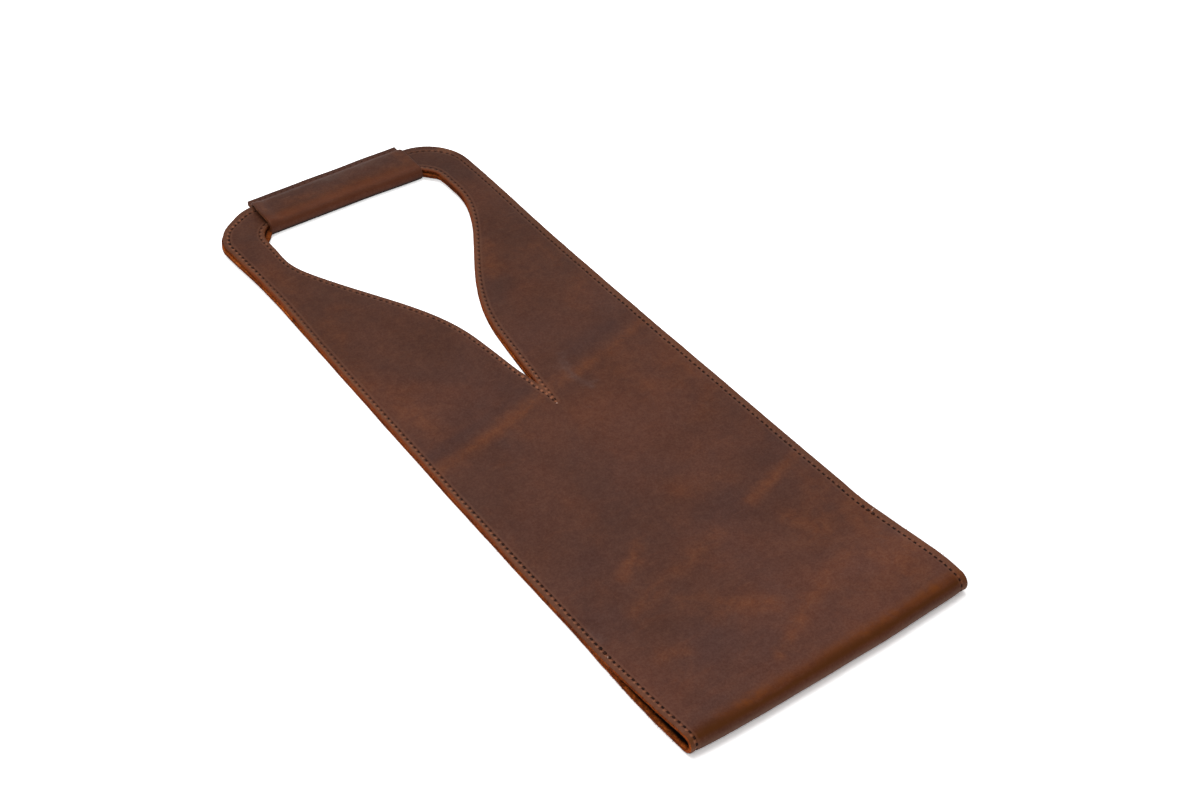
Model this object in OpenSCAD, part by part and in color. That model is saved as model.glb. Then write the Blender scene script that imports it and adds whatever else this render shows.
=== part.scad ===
// Leather bottle carrier, lying flat with its rolled bottom towards -Y and its handle towards +Y.
// One strip of leather is folded in two at the bottom. Both halves have a teardrop window,
// which leaves two arms and a handle bar. A sleeve wraps the two bars together.

/* [Body strip] */
// Length from the rolled bottom to the outer edge of the handle bars
body_l = 400; // [380:1:440]
// Width just above the flared bottom
body_w = 151; // [140:1:165]
// Width at the rolled bottom
base_w = 157; // [150:1:172]
// Width across the arms at the handle
top_w = 145; // [138:1:150]
// Thickness of the strip's leather
leather_t = 1.8; // [1.4:0.1:2.2]
// Gap left between the two sewn layers
layer_gap = 0.2; // [0.1:0.05:0.4]
// Radius of the outer corners beside the handle
corner_r = 26; // [20:1:30]

/* [Rolled bottom] */
// Height of the rolled bottom
roll_h = 10; // [8:0.2:12]
// Distance from the bottom at which the roll has closed to two flat layers
roll_l = 75; // [65:1:90]
// Distance from the bottom over which the sides flare out
flare_l = 100; // [80:1:120]

/* [Window] */
// Greatest width of the window
window_w = 104; // [96:1:108]
// Radius of the window's two corners at the handle
window_r = 12; // [8:1:16]
// Length of the window's straight sides below those corners
window_side_l = 15; // [10:1:20]
// Width of the handle bars between the window and the outer edge
bar_w = 17.5; // [16:0.5:20]
// Distance from the outer edge of the bars down to the point of the slit
slit_depth = 188.5; // [180:0.5:195]
// Length of the straight slit at the point of the window
slit_l = 40; // [30:1:50]
// Width of the slit at its open end
slit_w = 11; // [8:0.5:14]

/* [Seams] */
// Distance from an edge in to the seam beside it
seam_inset = 3.2; // [3:0.1:4]
// Length of one stitch
stitch_l = 3.5; // [3:0.1:5]
// Width of the thread
thread_w = 0.8; // [0.6:0.1:1]
// Depth to which the stitches are sunk in the leather
stitch_sink = 0.4; // [0.3:0.05:0.5]
// Distance from the bottom up to the back-tack, where the layers start to be sewn together
tack_y = 60; // [50:1:66]
// Distance from the point of the slit down to the end of the window's stitching
slit_tail = 15.5; // [12:0.5:16]

/* [Handle sleeve] */
// Length of the sleeve along the bars
sleeve_l = 91; // [80:1:92]
// Thickness of the sleeve's leather
sleeve_t = 1.6; // [1.4:0.1:2]
// Clearance between the sleeve and the flat faces of the bars
sleeve_gap = 0.3; // [0.2:0.05:0.5]
// Room between the sleeve's inner bend and the edge of the bars
sleeve_room = 2.7; // [2:0.1:4]
// Width of the sewn fin outside the bars
fin_w = 3; // [2.5:0.1:4]
// Rise of the sleeve's crown over its two shoulders
sleeve_crown = 0.4; // [0.2:0.1:1]

/* [Storage fold] */
// Distance from the end of the window's stitching down to the crease where the carrier is folded in two
crease_drop = 4; // [3:0.5:12]

/* [Hidden] */

// Reach of a cutting solid past the face that it cuts
overrun = 1;
// Clearance round a thread in its groove and in its needle holes
thread_gap = 0.05;
// Width of the thread where it goes down into a needle hole, and its depth there
hole_w = 0.4;
hole_sink = 0.25;
// Gap between the two halves of the strip at the crease
crease_gap = 0.3;
// Gap between the two layers of the sleeve's fin
fin_gap = 0.15;
// Radius of the inner faces of the sleeve's two bends, beside the window
bend_r = 1;
// Distance along Y that the sleeve's layers take to come together outside the bars
pinch_l = 2.2;
// Start of the arms' rise towards the handle, counted back from the bars' outer edge
rise_back = 120;
// End of that rise
rise_end_back = 40;
// Distance from the fin's edge in to its seam
fin_inset = 1.6;
// Distance from the ends of the sleeve in to the ends of its seam
fin_end = 2;
// Length of thread left out on each side of a joint between two seams
seam_break = 0.6;

// Pull of the curve that closes the roll, as shares of the roll's length at its two ends
roll_pull_shares = [0.2, 0.53];
// Pull of the window's S-curve at the slit and at the shoulder, as shares of the curve's length
window_pull_shares = [0.45, 0.31];
// Pull of the side's flare at the bottom and at the body, as shares of the flare's length
flare_pull_shares = [0.45, 0.35];
// Pull of the sleeve's crown from its two shoulders, as a share of the bars' width
crown_pull_share = 0.25;
// Place of a stitch's full width between two needle holes, as a share of a stitch
stitch_mid_share = 0.5;

// Number of straight steps in each kind of curve
arc_steps = 12;
curve_steps = 14;
rise_steps = 6;

// Heights of the middle of each layer where the strip lies flat, and after the rise to the handle
layer_step = leather_t + layer_gap;
back_z = leather_t / 2;
front_z = back_z + layer_step;
handle_lift = sleeve_t + sleeve_gap;

// The whole length along Y, with the sleeve's fin, which sets the origin at the middle of it
fin_y = body_l + pinch_l + fin_w + sleeve_gap;
mid_y = fin_y / 2;
// Point of the slit
tip_y = body_l - slit_depth;
// A width that takes in the whole strip
strip_w = max(base_w, body_w, top_w) + overrun;

function unit(v) = v / norm(v);
function left_of(v) = [-v.y, v.x];
function reversed(p) = [for (i = [len(p) - 1:-1:0]) p[i]];
function mirrored(p) = [for (q = reversed(p)) [-q.x, q.y]];
function joined(a, b) = concat(a, [for (i = [1:len(b) - 1]) b[i]]);
function both_sides(p) = concat(p, [for (q = mirrored(p)) if (q.x < 0) q]);
function arc(c, r, a, b, n) = [for (i = [0:n]) let(g = a + (b - a) * i / n) c + r * [cos(g), sin(g)]];
function bezier(a, b, c, d, n) =
    [for (i = [0:n]) let(t = i / n, s = 1 - t) s^3 * a + 3 * s^2 * t * b + 3 * s * t^2 * c + t^3 * d];

// A path moved sideways by d, to the left of its own direction, and the band between two such paths
function way(p, i) = let(k = min(max(i, 0), len(p) - 2)) unit(p[k + 1] - p[k]);
function beside(p, d) = [
    for (i = [0:len(p) - 1])
        let(before = way(p, i - 1), along = unit(before + way(p, i)))
        p[i] + d / (along * before) * left_of(along)
];
function band(p, low, high) = concat(beside(p, low), reversed(beside(p, high)));

// Part of a path whose coordinate k lies between two values, with its ends cut there
function cut_at(a, b, k, from, to) = a + (b - a) * (max(from, min(to, b[k])) - a[k]) / (b[k] - a[k]);
function part_of(p, k, from, to) =
    let(
        kept = [for (i = [0:len(p) - 1]) if (p[i][k] > from && p[i][k] < to) i],
        a = kept[0],
        b = kept[len(kept) - 1]
    )
    [
        if (a > 0) cut_at(p[a], p[a - 1], k, from, to),
        for (i = [a:b]) p[i],
        if (b < len(p) - 1) cut_at(p[b], p[b + 1], k, from, to)
    ];

// Distance run along a path at each of its points, and a place beside it at a given distance
function runs(p) =
    [for (i = 0, s = 0; i < len(p); i = i + 1, s = i < len(p) ? s + norm(p[i] - p[i - 1]) : s) s];
function place(p, r, s, d) =
    let(k = max([for (i = [0:len(r) - 2]) if (r[i] <= s) i]))
    p[k] + (s - r[k]) * way(p, k) + d * left_of(way(p, k));

// Outline of a row of stitches along a path. Each side has its distance off the path
// at a needle hole and at the crown between two holes.
function stitch_side(p, r, n, d) = [
    for (i = [0:n - 1]) each [
        place(p, r, r[len(r) - 1] * i / n, d[0]),
        place(p, r, r[len(r) - 1] * (i + stitch_mid_share) / n, d[1])
    ]
];
function stitch_row(p, low, high) =
    let(r = runs(p), n = round(r[len(r) - 1] / stitch_l))
    concat(
        stitch_side(p, r, n, low), [p[len(p) - 1] + low[0] * left_of(way(p, len(p)))],
        [p[len(p) - 1] + high[0] * left_of(way(p, len(p)))], reversed(stitch_side(p, r, n, high))
    );

// Side of the strip, as half widths, from the rolled bottom to the corner beside the handle.
// Inset moves it in to a seam.
function side_path(inset) = concat(
    [[base_w / 2 - inset, -overrun]],
    bezier(
        [base_w / 2 - inset, roll_h],
        [base_w / 2 - inset, flare_l * flare_pull_shares[0]],
        [body_w / 2 - inset, flare_l * (1 - flare_pull_shares[1])],
        [body_w / 2 - inset, flare_l],
        curve_steps
    ),
    arc([top_w / 2 - corner_r, body_l - corner_r], corner_r - inset, 0, 90, arc_steps)
);
// Side of the window, from the slit's point to the corner beside the bar.
// Outset moves it out to a seam, whose tail runs down to a point below the slit.
function window_path(outset) =
    let(
        mouth = [slit_w / 2 + outset, tip_y + slit_l],
        shoulder = [window_w / 2 + outset, body_l - bar_w - window_r - window_side_l],
        span = shoulder.y - mouth.y
    )
    concat(
        [[0, outset == 0 ? tip_y : tip_y - slit_tail]],
        bezier(
            mouth,
            mouth + span * window_pull_shares[0] * [slit_w / 2 / slit_l, 1],
            shoulder - [0, span * window_pull_shares[1]],
            shoulder,
            curve_steps
        ),
        arc([window_w / 2 - window_r, body_l - bar_w - window_r], window_r + outset, 0, 90, arc_steps)
    );

// Faces of the cut at the crease
crease_y = tip_y - slit_tail - crease_drop;
crease_low = crease_y - crease_gap / 2;
crease_high = crease_y + crease_gap / 2;

// Seams seen from above. The outer seam is in four parts: one at each side of the bottom,
// one up each side, and one over the arms and the bars.
seam_side = side_path(seam_inset);
bottom_seam_path = part_of(seam_side, 1, -roll_h, tack_y - seam_break);
side_seam_path = part_of(seam_side, 1, tack_y, crease_low - seam_break);
arm_seam_path = both_sides(part_of(seam_side, 1, crease_high + seam_break, body_l));
window_seam_path = concat(window_path(seam_inset), [[-hole_w, body_l - bar_w + seam_inset]]);

// Middle line of the strip below the crease, in Y and Z: down the front, round the roll, up the back
roll_round = arc([roll_h / 2, roll_h / 2], (roll_h - leather_t) / 2, 90, 270, arc_steps);
roll_front = bezier(
    [roll_l, front_z],
    [roll_l * (1 - roll_pull_shares[0]), front_z],
    [roll_l * (1 - roll_pull_shares[1]), roll_round[0].y],
    roll_round[0],
    curve_steps
);
strip_path = concat([[crease_low, front_z]], joined(roll_front, roll_round), [[crease_low, back_z]]);

// Middle line of one layer above the crease, which rises to the handle
function layer_path(z) = concat(
    [[crease_high, z]],
    bezier(
        [body_l - rise_back, z],
        [body_l - (rise_back + rise_end_back) / 2, z],
        [body_l - (rise_back + rise_end_back) / 2, z + handle_lift],
        [body_l - rise_end_back, z + handle_lift],
        rise_steps
    ),
    [[body_l + overrun, z + handle_lift]]
);
front_path = layer_path(front_z);
back_path = layer_path(back_z);

// Outer faces, in Y and Z, with the leather on the right of each
strip_face = reversed(beside(strip_path, -leather_t / 2));
strip_front = reversed(beside(concat([[crease_low, front_z]], roll_front), -leather_t / 2));
strip_back = [[crease_low, 0], [roll_h / 2, 0]];
front_face = beside(front_path, leather_t / 2);
back_face = reversed(beside(back_path, -leather_t / 2));

// Middle line of the sleeve, from the fin's upper layer round the bars to its lower layer
bars_high = handle_lift + layer_step + leather_t;
fin_z = (handle_lift + bars_high) / 2;
fin_high = fin_z + (fin_gap + sleeve_t) / 2;
fin_low = fin_z - (fin_gap + sleeve_t) / 2;
sleeve_high = bars_high + sleeve_gap + sleeve_t / 2;
sleeve_low = sleeve_t / 2;
shoulder_y = body_l + sleeve_gap;
pinch_y = shoulder_y + pinch_l;
bend_y = body_l - bar_w - sleeve_room + bend_r;
bend = bend_r + sleeve_t / 2;
sleeve_path = concat(
    [[fin_y, fin_high], [pinch_y, fin_high]],
    joined(
        bezier(
            [shoulder_y, sleeve_high],
            [shoulder_y - bar_w * crown_pull_share, sleeve_high + sleeve_crown],
            [bend_y + bar_w * crown_pull_share, sleeve_high + sleeve_crown],
            [bend_y, sleeve_high],
            curve_steps
        ),
        arc([bend_y, sleeve_high - bend], bend, 90, 180, arc_steps / 2)
    ),
    arc([bend_y, sleeve_low + bend], bend, 180, 270, arc_steps / 2),
    [[shoulder_y, sleeve_low], [pinch_y, fin_low], [fin_y, fin_low]]
);

// Outer faces of the fin, and its seam seen from above
fin_front = [[pinch_y, fin_high + sleeve_t / 2], [fin_y, fin_high + sleeve_t / 2]];
fin_back = [[fin_y, fin_low - sleeve_t / 2], [pinch_y, fin_low - sleeve_t / 2]];
fin_seam_path = [
    [-sleeve_l / 2 + fin_end, fin_y - fin_inset],
    [sleeve_l / 2 - fin_end, fin_y - fin_inset]
];

// Stands a shape drawn in Y and Z across the width of a piece
module across(piece_w) {
    rotate([90, 0, 90])
        linear_extrude(piece_w, center = true)
            children();
}

// Raises a shape drawn in X and Y through the whole height
module upright() {
    translate([0, 0, -overrun])
        linear_extrude(roll_h + 2 * overrun)
            children();
}

// Places a piece with the origin under the middle of the whole length
module placed(colour) {
    color(colour)
        translate([0, -mid_y, 0])
            children();
}

module both_hands() {
    children();
    mirror([1, 0, 0]) children();
}

module needle_ends(path, w) {
    for (p = [path[0], path[len(path) - 1]])
        translate(p) square(w, center = true);
}

// Room for a thread: a groove along a path in an outer face
module groove(face, path) {
    intersection() {
        across(strip_w) polygon(band(face, -stitch_sink, overrun));
        upright() polygon(band(path, -thread_w / 2 - thread_gap, thread_w / 2 + thread_gap));
    }
}

// Room for a thread that goes through all layers at its two ends
module needle_holes(path) {
    upright() needle_ends(path, hole_w + 2 * thread_gap);
}

// Stitches that lie in a front face, narrow at each needle hole
module stitches(face, path) {
    intersection() {
        across(strip_w) polygon(band(face, -stitch_sink, 0));
        upright() polygon(stitch_row(path, -[hole_w, thread_w] / 2, [hole_w, thread_w] / 2));
    }
}

// A flat run of thread that lies in an outer face
module flat_thread(face, path) {
    intersection() {
        across(strip_w) polygon(band(face, -stitch_sink, 0));
        upright() polygon(band(path, -thread_w / 2, thread_w / 2));
    }
}

// Stitches in front and flat thread behind, joined through the layers at their two ends
module lock_seam(front, back, path) {
    stitches(front, path);
    flat_thread(back, path);
    intersection() {
        across(strip_w) polygon(concat(back, front));
        upright() needle_ends(path, hole_w);
    }
}

// Lower half of the strip: front, rolled bottom and back in one piece, open at both sides
module pocket_strip() {
    placed("#5f3c2f")
        difference() {
            intersection() {
                across(strip_w) polygon(band(strip_path, -leather_t / 2, leather_t / 2));
                upright() polygon(both_sides(side_path(0)));
            }
            both_hands() {
                groove(strip_face, bottom_seam_path);
                groove(strip_face, side_seam_path);
                needle_holes(side_seam_path);
            }
        }
}

// Upper half of one layer: two arms and the handle bar round the window
module arms(layer, face) {
    difference() {
        intersection() {
            across(strip_w) polygon(band(layer, -leather_t / 2, leather_t / 2));
            upright() difference() {
                polygon(both_sides(side_path(0)));
                polygon(both_sides(window_path(0)));
            }
        }
        groove(face, arm_seam_path);
        needle_holes(arm_seam_path);
        both_hands() groove(face, window_seam_path);
    }
}

module front_arms() {
    placed("#5f3c2f") arms(front_path, front_face);
}

module back_arms() {
    placed("#5a382c") arms(back_path, back_face);
}

module handle_sleeve() {
    placed("#57362c")
        difference() {
            across(sleeve_l) polygon(band(sleeve_path, -sleeve_t / 2, sleeve_t / 2));
            groove(fin_front, fin_seam_path);
            groove(fin_back, fin_seam_path);
            needle_holes(fin_seam_path);
        }
}

// Outer seam up one side, from the back-tack to the crease
module side_seam_right() {
    placed("#2e1a12") lock_seam(strip_front, strip_back, side_seam_path);
}

module side_seam_left() {
    mirror([1, 0, 0]) side_seam_right();
}

// Stitches in the single layer round the roll, from one face of the back-tack to the other
module bottom_seam_right() {
    placed("#2e1a12")
        intersection() {
            flat_thread(strip_face, bottom_seam_path);
            across(strip_w) polygon(stitch_row(
                part_of(strip_face, 0, -overrun, tack_y - seam_break),
                [-leather_t, -leather_t],
                [-hole_sink, 0]
            ));
        }
}

module bottom_seam_left() {
    mirror([1, 0, 0]) bottom_seam_right();
}

// Outer seam from the crease up one arm, over the bars and down the other arm
module arm_seam() {
    placed("#2e1a12") lock_seam(front_face, back_face, arm_seam_path);
}

module front_window_seam() {
    placed("#2e1a12") both_hands() stitches(front_face, window_seam_path);
}

module back_window_seam() {
    placed("#2e1a12") both_hands() flat_thread(back_face, window_seam_path);
}

module sleeve_seam() {
    placed("#2e1a12") lock_seam(fin_front, fin_back, fin_seam_path);
}

pocket_strip();
front_arms();
back_arms();
handle_sleeve();
side_seam_left();
side_seam_right();
bottom_seam_left();
bottom_seam_right();
arm_seam();
front_window_seam();
back_window_seam();
sleeve_seam();
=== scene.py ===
import math

import bmesh
import bpy
import numpy as np
from mathutils import Matrix, Vector, noise


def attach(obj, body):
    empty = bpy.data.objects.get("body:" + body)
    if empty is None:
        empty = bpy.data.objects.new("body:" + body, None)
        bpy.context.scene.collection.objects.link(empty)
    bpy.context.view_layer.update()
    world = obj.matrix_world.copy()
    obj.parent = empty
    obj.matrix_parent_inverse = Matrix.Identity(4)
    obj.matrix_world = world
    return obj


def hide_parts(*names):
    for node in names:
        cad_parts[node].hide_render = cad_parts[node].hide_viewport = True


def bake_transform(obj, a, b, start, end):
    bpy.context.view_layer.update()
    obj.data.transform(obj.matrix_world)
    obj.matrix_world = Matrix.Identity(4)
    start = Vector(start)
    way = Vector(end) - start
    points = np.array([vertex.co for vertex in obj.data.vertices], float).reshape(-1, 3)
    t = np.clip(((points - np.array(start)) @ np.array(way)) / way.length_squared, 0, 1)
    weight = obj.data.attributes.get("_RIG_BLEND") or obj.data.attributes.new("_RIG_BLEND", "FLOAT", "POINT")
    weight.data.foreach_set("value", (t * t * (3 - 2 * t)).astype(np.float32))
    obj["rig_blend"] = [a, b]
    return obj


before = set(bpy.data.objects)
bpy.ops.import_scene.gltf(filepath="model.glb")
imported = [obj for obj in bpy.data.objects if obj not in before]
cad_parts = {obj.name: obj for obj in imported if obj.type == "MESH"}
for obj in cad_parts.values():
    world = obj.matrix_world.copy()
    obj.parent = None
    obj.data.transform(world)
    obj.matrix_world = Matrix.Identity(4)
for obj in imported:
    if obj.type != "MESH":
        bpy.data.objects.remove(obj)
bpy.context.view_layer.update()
mm = 0.001


def addObject(name, data):
    made = bpy.data.objects.new(name, data)
    bpy.context.scene.collection.objects.link(made)
    return made


# the photograph's camera
camera = {
    "place": (-0.44010, -0.55803, 0.65478), "turn": (0.825961, -0.060323, -0.647040), "lens": 61.5, "sensor": 36,
    "nearest": 0.01,
}
camData = bpy.data.cameras.new("camera")
camData.lens = camera["lens"]
camData.sensor_width = camera["sensor"]
camData.clip_start = camera["nearest"]
cam = addObject("camera", camData)
cam.location = camera["place"]
cam.rotation_euler = camera["turn"]
bpy.context.scene.camera = cam


def smooth(a, b, x):
    t = np.clip((np.asarray(x, float) - a) / (b - a), 0, 1)
    return t * t * (3 - 2 * t)


def hump(x, width):
    return np.exp(-((np.asarray(x, float) / width) ** 2))


# several humps: (height, place, half width)
def humps(x, *parts):
    return sum(height * hump(x - at, width) for height, at, width in parts)


# and several ripples: (height, size, seed)
def waves(x, y, *parts):
    return sum(height * ripple(x, y, size, seed) for height, size, seed in parts)


def ripple(x, y, size, seed):
    return np.array([noise.noise(Vector((a / size, b / size, seed))) for a, b in zip(x, y)])


def bezier(p0, p1, p2, p3, count):
    t = np.linspace(0, 1, count)[:, None]
    s = 1 - t
    points = [np.array(p, float) for p in (p0, p1, p2, p3)]
    return s**3 * points[0] + 3 * s * s * t * points[1] + 3 * s * t * t * points[2] + t**3 * points[3]


def arc(centre, radius, fromDeg, toDeg, count):
    a = np.radians(np.linspace(fromDeg, toDeg, count))
    return np.array(centre, float) + radius * np.stack([np.cos(a), np.sin(a)], 1)


def runLength(path):
    return np.concatenate([[0], np.cumsum(np.hypot(*np.diff(path, axis=0).T))])


def headings(path, *run):
    step = np.gradient(path, *run, axis=0)
    return step / np.hypot(step[:, 0], step[:, 1])[:, None]


# sizes of the strip in mm, y from the rolled bottom
strip = {
    "bars": 400,  # outer edge of the handle bars
    "middle": 202.75,  # the frame's origin
    "leather": 1.8, "gap": 0.2, "roll": 10, "rollEnd": 75, "rollPull": (60, 35.25), "rise": (280, 360), "lift": 1.9,
    "halfWidths": (78.5, 75.5, 72.5),  # bottom, body, handle
    "flare": 100, "flarePull": (45, 65), "corner": 26, "bar": 17.5, "windowHalf": 52, "windowCorner": 12,
    "windowSide": 15, "windowPull": (0.45, 0.31), "tip": 211.5, "slitLength": 40, "slitHalf": 5.5, "seamIn": 3.3,
    "seamLow": 1,  # further in over the bars
    "windowSeamIn": 2.5,
    "seamDrift": -0.55,  # the outer seam's shift to the right
    "pitch": 3.25, "tack": 60,
    "tail": (0.45, 196),  # where the window seams end
    "crease": (202.6, 0.22),  # y of the storage crease, and its slope
    "bend": (185.5, 198.5), "edgeRound": 0.55,
    "outerBelow": 190,  # no window seam reaches below this y
    "flatPoints": 330, "turnPoints": 41, "curvePoints": 60,
}
rollR = strip["roll"] / 2
topZ = 2 * strip["leather"] + strip["gap"]
innerTop = strip["bars"] - strip["bar"]
cornerX, cornerY = strip["halfWidths"][2] - strip["corner"], strip["bars"] - strip["corner"]
windowCornerX, windowCornerY = strip["windowHalf"] - strip["windowCorner"], innerTop - strip["windowCorner"]
shoulderY = windowCornerY - strip["windowSide"]
slitSlope = strip["slitHalf"] / strip["slitLength"]
mouthY = strip["tip"] + strip["slitLength"]


def sideHalf(y):
    base, body, top = strip["halfWidths"]
    low, high = strip["flarePull"]
    flare = bezier((base, strip["roll"]), (base, low), (body, high), (body, strip["flare"]), strip["curvePoints"])
    y = np.asarray(y, float)
    x = np.interp(y, [strip["flare"], cornerY], [body, top])
    x = np.where(y < strip["flare"], np.interp(y, flare[:, 1], flare[:, 0]), x)
    over = np.clip(y - cornerY, 0, strip["corner"])
    return np.where(y > cornerY, cornerX + np.sqrt(strip["corner"] ** 2 - over**2), x)


def makeWindowCurve():
    low, high = strip["windowPull"]
    up = shoulderY - mouthY
    return bezier(
        (strip["slitHalf"], mouthY),
        (strip["slitHalf"] + slitSlope * low * up, mouthY + low * up),
        (strip["windowHalf"], shoulderY - high * up),
        (strip["windowHalf"], shoulderY),
        2 * strip["curvePoints"],
    )


windowCurve = makeWindowCurve()


def windowHalf(y):
    y = np.asarray(y, float)
    x = np.interp(y, windowCurve[:, 1], windowCurve[:, 0])
    return np.where(y < mouthY, slitSlope * (y - strip["tip"]), x)


# how far a point of the plan lies in from the side, and out from the window
def fromSide(x, y, top=strip["bars"]):
    return sideHalf(np.clip(y, 0, top)) - np.abs(x)


def fromWindow(x, y, top=windowCornerY):
    return np.abs(x) - windowHalf(np.clip(y, strip["tip"], top))


# the outer face from the side, from the back bar round the roll to the front one
def makeProfile():
    flatY = np.linspace(strip["bars"] + 1, strip["rollEnd"], strip["flatPoints"])
    flatZ = strip["lift"] * smooth(*strip["rise"], flatY)
    back = np.stack([flatY, flatZ], 1)
    front = np.stack([flatY, topZ + flatZ], 1)[::-1]
    high, low = strip["rollPull"]
    roof = bezier(
        (rollR, strip["roll"]), (low, strip["roll"]), (high, topZ), (strip["rollEnd"], topZ), strip["curvePoints"])
    turn = arc((rollR, rollR), rollR, 270, 90, strip["turnPoints"])
    path = np.concatenate([back, [[rollR * 2, 0]], turn, roof[1:], front[1:]])
    run = runLength(path)
    middle = len(back) + 1 + strip["turnPoints"] // 2
    run -= run[middle]
    step = headings(path, run)
    return {"run": run, "y": path[:, 0], "z": path[:, 1], "ny": -step[:, 1], "nz": step[:, 0], "middle": middle}


profile = makeProfile()


# runs are counted from the middle of the roll, and those of the back layer are below 0
def flatRun(y, front):
    half = strip["turnPoints"] // 2
    part = slice(profile["middle"] + half, None) if front else slice(profile["middle"] - half, None, -1)
    return np.interp(y, profile["y"][part], profile["run"][part])


def planY(run):
    return np.interp(run, profile["run"], profile["y"])


def flatPlan(plan, front):
    return np.stack([plan[:, 0], flatRun(plan[:, 1], front)], 1)


# seams in the flat strip, as (x, run) lines on the right half
def outerLine():
    inset = strip["seamIn"]
    turn = arc((cornerX, cornerY), strip["corner"] - inset, 90, 0, 24)
    turn[:, 1] -= strip["seamLow"] * smooth(cornerY, strip["bars"] - inset, turn[:, 1])
    down = [[sideHalf(y) - inset, y] for y in np.linspace(cornerY - 2, rollR, 180)]
    plan = np.concatenate([[[0, turn[0, 1]]], turn, down])
    return np.concatenate([flatPlan(plan, True), flatPlan(plan, False)[::-1]])


def windowLine(front):
    turn = arc((windowCornerX, windowCornerY), strip["windowCorner"], 90, 0, 16)
    down = [[windowHalf(y), y] for y in np.linspace(windowCornerY - 2, mouthY, 90)]
    edge = np.concatenate([[[0, innerTop]], turn, down])
    step = headings(edge)
    plan = edge + strip["windowSeamIn"] * np.stack([-step[:, 1], step[:, 0]], 1)
    plan[0, 0] = 0
    return flatPlan(np.concatenate([plan, [strip["tail"]]]), front)


def seamData(line, inside):
    run = runLength(line)
    count = round(run[-1] / strip["pitch"])
    return {"line": line, "run": run, "count": count, "pitch": run[-1] / count, "inside": inside}


seams = {
    "outer": seamData(outerLine(), -1),
    "windowFront": seamData(windowLine(True), 1),
    "windowBack": seamData(windowLine(False), 1),
}


# how the real strip has drifted from its even plan, in mm
drift = {
    # (y, shift to the right) down each side
    "left": ((-20, 2.3), (0, 2.3), (12, 1.6), (25, 0.8), (60, -0.4), (93, -0.8), (127, -1), (170, -0.8),
             (208, -0.35), (250, 0.3), (290, 0.95), (325, 1), (350, 0.2), (374, -0.9), (420, -0.9)),
    "right": ((-20, 0.3), (0, 0.4), (12, 1), (30, 0.3), (56, 0.6), (80, 1.9), (112, 1.3), (145, 0.9),
              (180, 0.5), (215, -0.1), (255, -0.3), (290, -0.5), (330, -0.7), (374, -0.5), (420, -0.4)),
    # (x, shift up) along the fold, and the handle's shift
    "fold": ((-90, 0.6), (-76, 0.4), (-60, -0.5), (-38, -0.8), (-5, -0.5), (28, -0.2), (55, 1), (78, 2), (90, 2.2)),
    "foldReach": 45, "handle": -0.75, "handleFrom": 330, "half": 78, "tableReach": 7,
    # left top corner, flatter above and fuller at the side: (pull, angle, spread)
    "corner": ((-1.7, 60, 20), (0.9, 6, 14)), "cornerFrom": (6, 26), "cornerBelow": 34,
    # beside the window: shift to the right, y, spread up the strip, how near the window
    "windowLeft": (-1.2, 347, 13, 9), "slitRightBack": (-0.55, 236, 24, 7), "slitLeft": (-0.4, 224, 12, 5),
    "slitTop": 300,
    # front layer's left edge, further in: (shift, y, spread)
    "frontLeft": ((1.4, 371, 16), (0.8, 328, 28)), "frontLeftFrom": (52, 68),
    # window's corners, where the back layer shows past the front one
    "windowTurn": (42, 34),  # angle and its spread
    "windowTurnNear": 8,
    "windowTurnReach": ((0, 3.6), (0.9, 3.3)),  # left and right corner, each of the front and the back layer
    "windowTurnShare": (0.45, 0.85),  # of that, inwards and down
}


def softTable(table, x):
    at, value = np.array(table, float).T
    reach = drift["tableReach"]
    return sum(np.interp(x + d * reach, at, value) * w for d, w in ((-1, 0.25), (0, 0.5), (1, 0.25)))


def besideWindow(kind, y, away):
    shift, at, spread, near = drift[kind]
    return shift * hump(y - at, spread) * hump(away, near)


def drifted(x, y, front):
    side = (1 + np.clip(x / drift["half"], -1.1, 1.1)) / 2
    dx = softTable(drift["left"], y) * (1 - side) + softTable(drift["right"], y) * side
    dy = softTable(drift["fold"], x) * smooth(drift["foldReach"], 0, y)
    dy = dy + drift["handle"] * smooth(drift["handleFrom"], strip["bars"], y)
    cx, cy = -x - cornerX, np.clip(y - cornerY, 0, None)
    angle = np.degrees(np.arctan2(cy, np.clip(cx, 0.01, None)))
    pull = humps(angle, *drift["corner"]) * smooth(*drift["cornerFrom"], np.hypot(cx, cy))
    pull = pull * smooth(cornerY - drift["cornerBelow"], cornerY, y) * (cx > 0)
    dx = dx - pull * np.cos(np.radians(angle))
    dy = dy + pull * np.sin(np.radians(angle))
    dx = dx + besideWindow("windowLeft", y, fromWindow(x, y)) * (x < 0)
    toSlit = fromWindow(x, y, drift["slitTop"])
    dx = dx + besideWindow("slitRightBack", y, toSlit) * ((x > 0) & ~front)
    dx = dx + besideWindow("slitLeft", y, toSlit) * (x < 0)
    dx = dx + front * humps(y, *drift["frontLeft"]) * smooth(*drift["frontLeftFrom"], -x)
    wx, wy = np.abs(x) - windowCornerX, y - windowCornerY
    at, spread = drift["windowTurn"]
    near = hump(np.degrees(np.arctan2(wy, wx)) - at, spread)
    near = near * hump(np.hypot(wx, wy) - strip["windowCorner"], drift["windowTurnNear"])
    left, right = (np.where(front, *pair) for pair in drift["windowTurnReach"])
    near = near * np.where(x > 0, right, left)
    inwards, down = drift["windowTurnShare"]
    return x + dx - np.sign(x) * inwards * near, y + dy - down * near


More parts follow.
